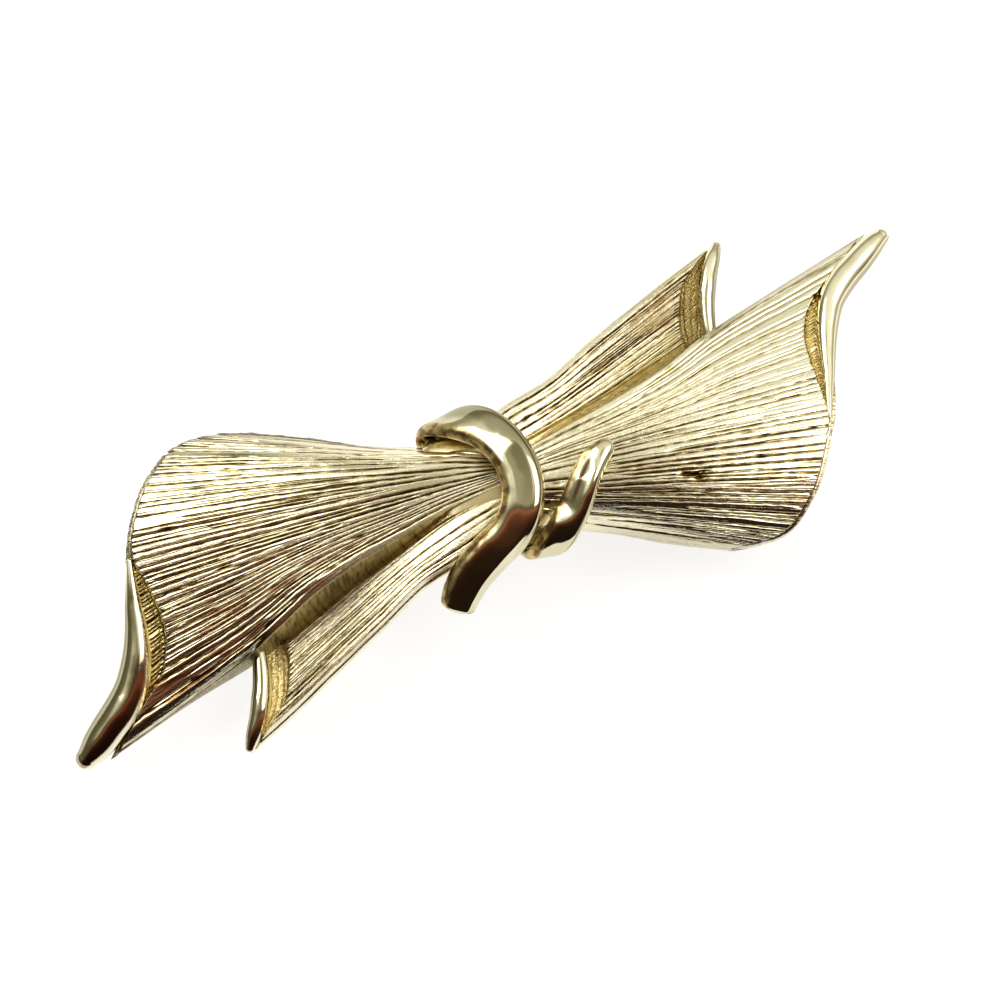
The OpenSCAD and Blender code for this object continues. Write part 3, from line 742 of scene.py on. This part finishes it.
def ribbon(name, material):
    """The polished ribbon: a tail, over the front, round the waist and out on the right wing."""
    rear_t = REAR_SHARE * TIE_T
    rear_z = BAR_TOP + TIE_GAP + rear_t / 2
    tie_top = TIP_Z + WING_H + TIE_RISE - TIE_T / 2
    rows = [[q[0] * WAIST_W, q[1] * WAIST_W, blend(rear_z, tie_top, q[2]), *q[3:]] for q in WRAP]
    for q in END:
        px, py = q[0] * WAIST_W, q[1] * WAIST_W
        pz = float(skin_z(px, py)) + RIB_H / 2 + TIE_GAP + q[4] * TIE_T / 2
        rows.append([px, py, pz, *q[2:]])
    line = smooth_rows(rows, 12)
    path = line[:, :3]
    ahead = unit(np.gradient(path, axis=0))
    lean = np.radians(line[:, 3])
    outward = np.stack([np.zeros_like(lean), np.sin(lean), np.cos(lean)], -1)
    right = unit(np.cross(ahead, outward))
    up = np.cross(right, ahead)
    along = np.concatenate([[0], np.cumsum(np.linalg.norm(np.diff(path, axis=0), axis=1))])
    half_w = line[:, 4] * TIE_W / 2
    half_t = line[:, 5] * TIE_T / 2
    near_end = np.clip(np.minimum(along, along[-1] - along) / END_ROUND, 0, 1)
    closing = np.sqrt(1 - (1 - near_end) ** 2)
    a = angles(96)
    passed = along / along[-1]
    power = blend(0.6, 0.9, ease(passed, 0.8, 0.9))[:, None]
    across = squarish(np.cos(a), power)
    over = squarish(np.sin(a), power)
    outside = over > 0
    crown = band(passed, 0.12, 0.2, 0.4, 0.46)[:, None]
    strand = ease(passed, 0.84, 0.88)[:, None]
    # Painted reflection on the inner wall, and a painted dark line along the outer shoulder
    wall = np.maximum(ease(-across, 0.68, 0.84), 0.85 * ease(across, 0.93, 0.98) * crown)
    wall = np.maximum(wall, strand * ease(-across, 0.5, 0.75))
    shoulder_line_shade = bell(across, 0.87, 0.05) * outside * ease(passed, 0.13, 0.2)[:, None]
    # Painted olive reflection over the crown's outer part, and a painted dark reflection along the strand
    border = 0.08 * np.sin(2.1 * along)[:, None] + 0.04 * np.sin(5.3 * along)[:, None]
    outer = ease(across + border, blend(-0.2, -0.75, ease(passed, 0.36, 0.44))[:, None], 0.1)
    olive_reflection = band(passed, 0.17, 0.3, 0.55, 0.6)[:, None] * outer
    middle = band(passed, 0.87, 0.9, 0.95, 0.97)[:, None]
    dark_reflection = middle * np.exp(-(((across + 0.3) / 0.16) ** 4)) * outside
    # The tail's bevel, and the lean of the crown and the strand
    bevel = BEVEL * fade(passed, 0.13, 0.2)[:, None] * ease(across, 0.62, 1.0) * outside * over
    across = across * (1 - SIDE_SLOPE * over)
    level_end = fade(passed, 0.93, 1.0)[:, None]
    tilt = (TILT_IN * crown + TILT_OUT * strand * level_end) * (across - 0.4)
    aside = (half_w * closing)[:, None] * across
    above = (half_t * closing)[:, None] * over
    raised = tilt * half_w[:, None] * outside * over - bevel
    points = path[:, None] + aside[..., None] * right[:, None] + above[..., None] * up[:, None]
    points += raised[..., None] * up[:, None]
    layers = {"wall": wall[1:-1], "line": shoulder_line_shade[1:-1], "olive_reflection": olive_reflection[1:-1], "dark_reflection": dark_reflection[1:-1]}
    make_tube(name, points[1:-1], path[[0, -1]], 0, material, layers, ["tie"])


def waist(material):
    """Oval waist between the wings."""
    low = BAR_TOP + REAR_SHARE * TIE_T + 2 * TIE_GAP
    top = TIP_Z + WING_H - 0.4
    mid = (low + top) / 2
    sides, rings, fullness = 64, 25, 0.75
    a = angles(sides)
    wide = squarish(np.cos(a), fullness)
    high = squarish(np.sin(a), fullness)
    s = np.linspace(-1, 1, rings)[:, None]
    half_h = (top - low) / 2 - 0.35 * s * s
    close = 1 - np.abs(s) ** 12 * 0.35
    ring = np.stack([
        np.broadcast_to(s * WAIST_REACH, (rings, sides)),
        -0.48 * WAIST_W * wide[None, :] * close,
        mid + half_h * high[None, :] * close,
    ], -1)
    ends = np.array([[-WAIST_REACH, 0, mid], [WAIST_REACH, 0, mid]])
    make_tube("waist", ring, ends, 0, material, {}, ["bow"])


def post(name, turn, material):
    """Seat post on the back of a wing, flared where it meets the panel."""
    low = BAR_TOP + SEAT_GAP
    top = float(skin_z(POST_X + POST_R, 0)) - WALL / 2
    sides = 48
    shares = [(0.0, 0.86), (0.02, 0.95), (0.06, 1.0), (0.6, 1.0), (0.8, 1.06), (0.92, 1.18), (1.0, 1.3)]
    a = angles(sides)
    ring = np.stack([
        np.stack([POST_X + POST_R * r * np.cos(a), POST_R * r * np.sin(a),
                  np.full(sides, blend(low, top, h))], -1)
        for h, r in shares
    ])
    ends = np.array([[POST_X, 0, low], [POST_X, 0, top]])
    make_tube(name, ring, ends, turn, material, {}, ["bow"])


def fill(tree, node, inputs):
    """Links a node's inputs to other nodes' outputs, or sets them to values."""
    for key, source in inputs.items():
        if isinstance(source, bpy.types.NodeSocket):
            tree.links.new(source, node.inputs[key])
        else:
            node.inputs[key].default_value = source


def add(tree, kind, inputs=None, output=0, **settings):
    """The output of a new node with its settings and inputs."""
    node = tree.nodes.new(kind)
    for key, value in settings.items():
        setattr(node, key, value)
    fill(tree, node, inputs or {})
    return node.outputs[output]


def carried(tree, name, output="Fac"):
    """A value that the mesh carries on its points."""
    return add(tree, "ShaderNodeAttribute", output=output, attribute_name=name)


def stretched(tree, place, along, across):
    """A place whose noise is drawn out along the ribs or across them."""
    return add(tree, "ShaderNodeMapping", {"Vector": place, "Scale": (along, across, 1.0)})


def noise(tree, place, scale, detail=3.0):
    return add(tree, "ShaderNodeTexNoise", {"Vector": place, "Scale": scale, "Detail": detail}, "Fac")


def ramp(tree, value, stops):
    colours = add(tree, "ShaderNodeValToRGB", {"Fac": value})
    elements = colours.node.color_ramp.elements
    while len(elements) < len(stops):
        elements.new(0.5)
    for element, (at, colour) in zip(elements, stops):
        element.position = at
        element.color = colour
    return colours


def mix(tree, share, first, second):
    """A colour between two."""
    return add(tree, "ShaderNodeMix", {"Factor": share, 6: first, 7: second}, 2, data_type="RGBA")


def mix_value(tree, share, first, second):
    return add(tree, "ShaderNodeMix", {"Factor": share, 2: first, 3: second}, data_type="FLOAT")


def scaled(tree, value, low, high):
    """A share carried to the range from low to high."""
    return add(tree, "ShaderNodeMapRange", {"Value": value, "To Min": low, "To Max": high})


def share_of(tree, value, low, high):
    """The share of the way from low to high that a value has gone."""
    return add(tree, "ShaderNodeMapRange", {"Value": value, "From Min": low, "From Max": high})


def combined(tree, operation, first, second):
    return add(tree, "ShaderNodeMath", {0: first, 1: second}, operation=operation)


def bump(tree, height, distance, strength, before=None):
    inputs = {"Height": height, "Distance": distance, "Strength": strength}
    if before is not None:
        inputs["Normal"] = before
    return add(tree, "ShaderNodeBump", inputs)


def new_material(name):
    material = bpy.data.materials.new(name)
    material.use_nodes = True
    return material, material.node_tree


def plate(tree, tone, rough, surface):
    """Sets the shader of a metal."""
    inputs = {"Metallic": 1.0, "Base Color": tone, "Roughness": rough, "Normal": surface}
    fill(tree, tree.nodes["Principled BSDF"], inputs)


# Colours of the ribbed face, its tarnish and stains, and painted shade in cuts, groove, step and edges
CHAMPAGNE = (0.885, 0.815, 0.59, 1)
GROOVE_SHADE_OCHRE = (0.72, 0.58, 0.27, 1)
SMALL_GROOVE_SHADE = (0.36, 0.28, 0.11, 1)
OCHRE = (0.46, 0.37, 0.15, 1)
DEEP = (0.11, 0.055, 0.016, 1)
RUST = (0.28, 0.13, 0.055, 1)
TARNISH = (0.4, 0.32, 0.13, 1)
DASHES = (0.4, 0.3, 0.1, 1)
STEP_SHADE = (0.6, 0.51, 0.25, 1)
STEP_SHADE_DARK = (0.24, 0.18, 0.07, 1)
RIM_SHADE_LIGHT = (0.22, 0.185, 0.115, 1)
RIM_SHADE_DARK = (0.07, 0.055, 0.028, 1)
# Colours of polished curls, the ribbon in painted shade, their painted tones, and of the satin plating
CURL_DARK = (0.8, 0.74, 0.5, 1)
CURL_PALE = (0.88, 0.82, 0.6, 1)
TIE_SHADED_DARK = (0.66, 0.61, 0.4, 1)
TIE_SHADED_PALE = (0.74, 0.69, 0.48, 1)
WALL_REFLECTION_DARK = (0.16, 0.085, 0.03, 1)
WALL_REFLECTION_PALE = (0.66, 0.52, 0.22, 1)
OLIVE_REFLECTION = (0.34, 0.305, 0.175, 1)
DARK_REFLECTION_DEEP = (0.1, 0.045, 0.02, 1)
DARK_REFLECTION_RED = (0.34, 0.13, 0.07, 1)
LINE_SHADE = (0.17, 0.12, 0.05, 1)
HIGHLIGHT_TONE = (0.96, 0.91, 0.7, 1)
SATIN_DARK = (0.7, 0.58, 0.32, 1)
SATIN_PALE = (0.82, 0.72, 0.46, 1)


def ribbed_gold():
    """Cast plated face: bright crests, cuts with painted shade and tarnish, fine streaks along the ribs.
    """
    material, tree = new_material("ribbed_gold")
    place = carried(tree, "rib_place", "Vector")
    names = ("cavity", "groove", "stain", "step", "rim", "near")
    cavity, groove, stain, step, rim, near = (carried(tree, name) for name in names)
    # Noises, plainer near the waist
    grain = noise(tree, place, 5.0, 4.0)
    streaks = noise(tree, stretched(tree, place, 0.32, 6.0), 1.2, 4.0)
    streaks = mix_value(tree, near, streaks, 0.46)
    dashes = noise(tree, stretched(tree, place, 0.33, 8.0), 1.0, 2.0)
    dashes = mix_value(tree, near, dashes, 0.5)
    flecks = noise(tree, stretched(tree, place, 1.3, 4.0), 1.4)
    hatch = noise(tree, stretched(tree, place, 4.0, 0.5), 1.0)
    specks = noise(tree, stretched(tree, place, 2.6, 3.2), 1.0)
    # Plain face, painted shade in the groove and on the step below the fold, and the cuts
    face_tones = [(0.0, CHAMPAGNE), (0.5, GROOVE_SHADE_OCHRE), (1.0, SMALL_GROOVE_SHADE)]
    face = ramp(tree, share_of(tree, groove, 0, 2), face_tones)
    painted_wall_tone = mix(tree, share_of(tree, hatch, 0.45, 0.62), STEP_SHADE, STEP_SHADE_DARK)
    face = mix(tree, scaled(tree, step, 0.0, 0.95), face, painted_wall_tone)
    # Painted shade with tarnish: cuts turn ochre, then deep brown, with their depth
    into_cut = ramp(tree, cavity, [(0.0, OCHRE), (0.62, OCHRE), (0.95, DEEP)])
    tone = mix(tree, share_of(tree, cavity, 0.18, 0.6), face, into_cut)
    # Tarnish, dashes and stains, then speckled painted shade along the edges and darker patches
    streaked = share_of(tree, streaks, 0.54, 0.66)
    tarnish = combined(tree, "MULTIPLY", streaked, share_of(tree, flecks, 0.42, 0.56))
    tone = mix(tree, scaled(tree, tarnish, 0.0, 0.5), tone, TARNISH)
    dashed = share_of(tree, dashes, 0.61, 0.67)
    tone = mix(tree, scaled(tree, dashed, 0.0, 0.5), tone, DASHES)
    stained = combined(tree, "MULTIPLY", stain, share_of(tree, streaks, 0.49, 0.6))
    tone = mix(tree, stained, tone, RUST)
    rim_shade_tone = mix(tree, share_of(tree, specks, 0.47, 0.56), RIM_SHADE_LIGHT, RIM_SHADE_DARK)
    tone = mix(tree, rim, tone, rim_shade_tone)
    rough = mix_value(tree, step, scaled(tree, streaks, 0.06, 0.24), 0.45)
    surface = bump(tree, grain, 0.00003, 0.5, bump(tree, streaks, 0.00005, 0.5))
    plate(tree, tone, rough, surface)
    return material


def polished_gold(name, dark, pale):
    """Polished plating, slightly uneven, faintly worn, with painted reflections, shade and a highlight.
    """
    material, tree = new_material(name)
    names = ("wall", "line", "olive_reflection", "dark_reflection", "edge")
    wall, line, olive_reflection, dark_reflection, edge = (carried(tree, name) for name in names)
    place = add(tree, "ShaderNodeTexCoord", output="Object")
    swell = noise(tree, place, 420.0, 1.0)
    wear_and_shade = noise(tree, place, 2600.0)
    blotches = noise(tree, place, 1500.0, 2.0)
    # Painted reflection: browner walls, in blotches
    painted_wall_tone = ramp(tree, blotches, [(0.38, WALL_REFLECTION_DARK), (0.6, WALL_REFLECTION_PALE)])
    # Painted reflection of dark reddish surroundings
    dark_reflection_tone = ramp(tree, swell, [(0.35, DARK_REFLECTION_DEEP), (0.6, DARK_REFLECTION_RED)])
    tone = ramp(tree, swell, [(0.3, dark), (0.7, pale)])
    # Painted reflections on walls, olive and dark reddish areas, then painted shade in the lines
    areas = [(wall, 0.9, painted_wall_tone), (olive_reflection, 0.9, OLIVE_REFLECTION), (dark_reflection, 0.9, dark_reflection_tone), (line, 0.85, LINE_SHADE)]
    for share, most, area_tone in areas:
        tone = mix(tree, scaled(tree, share, 0.0, most), tone, area_tone)
    # Painted highlight: a pale, rougher edge
    tone = mix(tree, edge, tone, HIGHLIGHT_TONE)
    rough = mix_value(tree, wall, scaled(tree, wear_and_shade, 0.04, 0.13), 0.3)
    rough = mix_value(tree, edge, rough, 0.5)
    surface = bump(tree, wear_and_shade, 0.00001, 0.3, bump(tree, swell, 0.00016, 0.45))
    plate(tree, tone, rough, surface)
    return material


def satin_gold():
    """Plain satin plating of the finding, the waist and the posts."""
    material, tree = new_material("satin_gold")
    place = add(tree, "ShaderNodeTexCoord", output="Object")
    cast = noise(tree, place, 900.0, 4.0)
    patches = noise(tree, place, 160.0, 2.0)
    tone = ramp(tree, patches, [(0.3, SATIN_DARK), (0.7, SATIN_PALE)])
    plate(tree, tone, scaled(tree, cast, 0.18, 0.36), bump(tree, cast, 0.00006, 0.4))
    return material


def build_bow(ribbed, polished, satin):
    """Both wings with their curls, the waist and the posts."""
    wide_grid, narrow_grid = (((660, 112), (330, 100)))
    wings = [
        # side, turn, start, seeds, cut depth
        ("right", 0, 0.028, 11, 12, 0.13),
        ("left", 1, -0.046, 21, 22, 0.155),
    ]
    for side, turn, start, wide_seed, narrow_seed, depth in wings:
        wide_ribs = Ribs(wide_seed, 42, 60, 50, depth, MARKS[turn])
        narrow_ribs = Ribs(narrow_seed, 22, 24, 24, depth * 0.9)
        Panel(True, turn, *wide_grid, start).build(f"wing_{side}_wide", wide_ribs, ribbed)
        Panel(False, turn, *narrow_grid, start).build(f"wing_{side}_narrow", narrow_ribs, ribbed)
        curl(f"curl_{side}_large", BIG_CURL, BIG_CURL_R, turn, polished, LARGE_SHADES[turn],
             TRIM[turn], SLIM[turn], TIP_SWELL[turn], TIP_REACH[turn])
        curl(f"curl_{side}_small", SMALL_CURL, SMALL_CURL_R, turn, polished, SMALL_SHADES[turn])
        post(f"post_{side}", turn, satin)
    waist(satin)


def finish_finding(satin):
    """The finding keeps its own node: softened edges and satin plating."""
    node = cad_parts["pin_back"]
    node.data.materials.clear()
    node.data.materials.append(satin)
    soften = node.modifiers.new("soften", "BEVEL")
    soften.width = 0.25 * MM
    soften.segments = 3
    soften.limit_method = "ANGLE"
    soften.angle_limit = math.radians(40)


def build_floor():
    """Plain pale floor under the brooch."""
    half = 4.0
    mesh = bpy.data.meshes.new("floor")
    corners = [(-half, -half, 0), (half, -half, 0), (half, half, 0), (-half, half, 0)]
    mesh.from_pydata(corners, [], [(0, 1, 2, 3)])
    material, tree = new_material("floor_paint")
    fill(tree, tree.nodes["Principled BSDF"], {
        "Base Color": (0.3, 0.3, 0.3, 1),
        "Roughness": 0.8,
        "Emission Color": (1, 1, 1, 1),
        "Emission Strength": 0.82,
    })
    mesh.materials.append(material)
    new_object("floor", mesh)


# Tones of the surroundings, from the photo's bottom to its top
SIDE_TONES = [
    (0.0, (0.012, 0.008, 0.005, 1)),
    (0.2, (0.03, 0.014, 0.009, 1)),
    (0.29, (0.07, 0.029, 0.015, 1)),
    (0.345, (0.16, 0.06, 0.033, 1)),
    (0.375, (0.42, 0.15, 0.08, 1)),
    (0.41, (0.12, 0.11, 0.08, 1)),
    (0.45, (0.38, 0.36, 0.26, 1)),
    (0.5, (0.98, 0.98, 0.9, 1)),
    (0.56, (1.3, 1.3, 1.24, 1)),
    (0.68, (1.35, 1.35, 1.3, 1)),
    (0.84, (0.88, 0.88, 0.78, 1)),
    (1.0, (0.72, 0.7, 0.58, 1)),
]
# Tones low down, toward the photo's left and overhead, and width and length of the overhead patch
LOW_TONE = (0.32, 0.3, 0.19, 1)
LEFT_TONE = (0.17, 0.16, 0.1, 1)
OVERHEAD_TONE = (0.48, 0.46, 0.34, 1)
OVERHEAD_WIDE = 0.23
OVERHEAD_LONG = 0.32


def leaning(tree, direction, axis):
    """How far a direction leans along an axis."""
    inputs = {0: direction, 1: axis}
    return add(tree, "ShaderNodeVectorMath", inputs, "Value", operation="DOT_PRODUCT")


def squared(tree, direction, axis, reach):
    """Square of how far a direction leans along an axis, as a share of reach."""
    lean = leaning(tree, direction, axis / reach)
    return combined(tree, "MULTIPLY", lean, lean)


def build_world():
    """Soft surroundings: bright above and toward the photo's top, dark brown toward its bottom."""
    world = bpy.data.worlds.new("studio")
    world.use_nodes = True
    bpy.context.scene.world = world
    tree = world.node_tree
    direction = add(tree, "ShaderNodeTexCoord", output="Generated")
    up_share = share_of(tree, leaning(tree, direction, PHOTO_UP), -1, 1)
    sky = ramp(tree, up_share, SIDE_TONES)
    low = share_of(tree, leaning(tree, direction, UPWARD), 0.55, 0.25)
    low = combined(tree, "MULTIPLY", low, share_of(tree, up_share, 0.4, 0.48))
    sky = mix(tree, scaled(tree, low, 0.0, 0.85), sky, LOW_TONE)
    left = share_of(tree, leaning(tree, direction, -PHOTO_RIGHT), 0.6, 0.76)
    sky = mix(tree, scaled(tree, left, 0.0, 0.9), sky, LEFT_TONE)
    # Darker patch that an upward face mirrors
    mirror = PHOTO_UP * math.sin(TILT) + UPWARD * math.cos(TILT)
    across = squared(tree, direction, PHOTO_RIGHT, OVERHEAD_WIDE)
    along = squared(tree, direction, mirror.cross(PHOTO_RIGHT), OVERHEAD_LONG)
    overhead = share_of(tree, combined(tree, "ADD", across, along), 1.25, 0.8)
    sky = mix(tree, overhead, sky, OVERHEAD_TONE)
    fill(tree, tree.nodes["Background"], {"Color": sky, "Strength": 1.0})


# Lights: millimetres toward the photo's top, its right and up, size, watts, colour
LIGHTS = {
    "key": (200, -260, 420, 300, 1.0, (1.0, 0.99, 0.96)),
    "fill": (60, 320, 400, 300, 0.8, (1.0, 1.0, 1.0)),
}


def build_lights():
    """Square soft lights, aimed at the brooch."""
    for name, (toward_top, toward_right, above, size, watts, colour) in LIGHTS.items():
        lamp = bpy.data.lights.new(name, "AREA")
        lamp.shape = "SQUARE"
        lamp.size = size * MM
        lamp.energy = watts
        lamp.color = colour
        obj = new_object(name, lamp)
        obj.location = (PHOTO_UP * toward_top + PHOTO_RIGHT * toward_right + UPWARD * above) * MM
        aim = UPWARD * (MIDDLE_Z * MM) - obj.location
        obj.rotation_euler = aim.to_track_quat("-Z", "Y").to_euler()


def build_camera():
    """The photograph's view: nearly from above, tilted toward the photo's bottom."""
    half = PHOTO_PX / 2
    aside = (half - MIDDLE_PX[0]) * MM_PER_PX
    down = (half - MIDDLE_PX[1]) * MM_PER_PX
    target = UPWARD * MIDDLE_Z + PHOTO_RIGHT * aside - PHOTO_UP * down
    back = UPWARD * math.cos(TILT) - PHOTO_UP * math.sin(TILT)
    camera = bpy.data.cameras.new("camera")
    camera.sensor_width = SENSOR
    camera.lens = SENSOR * CAMERA_DISTANCE / (PHOTO_PX * MM_PER_PX)
    camera.clip_start = 0.01
    camera.clip_end = 20
    obj = new_object("camera", camera)
    place = (target + back * CAMERA_DISTANCE) * MM
    turn = Matrix((PHOTO_RIGHT, back.cross(PHOTO_RIGHT), back)).transposed()
    obj.matrix_world = Matrix.Translation(place) @ turn.to_4x4()
    bpy.context.scene.camera = obj


bpy.context.scene.view_settings.view_transform = "Standard"
build_camera()
satin = satin_gold()
build_bow(ribbed_gold(), polished_gold("curl_gold", CURL_DARK, CURL_PALE), satin)
# The ribbon's plating is darker than the curls' as painted shade
ribbon("tie_ribbon", polished_gold("tie_gold_shaded", TIE_SHADED_DARK, TIE_SHADED_PALE))
finish_finding(satin)
build_floor()
build_world()
build_lights()
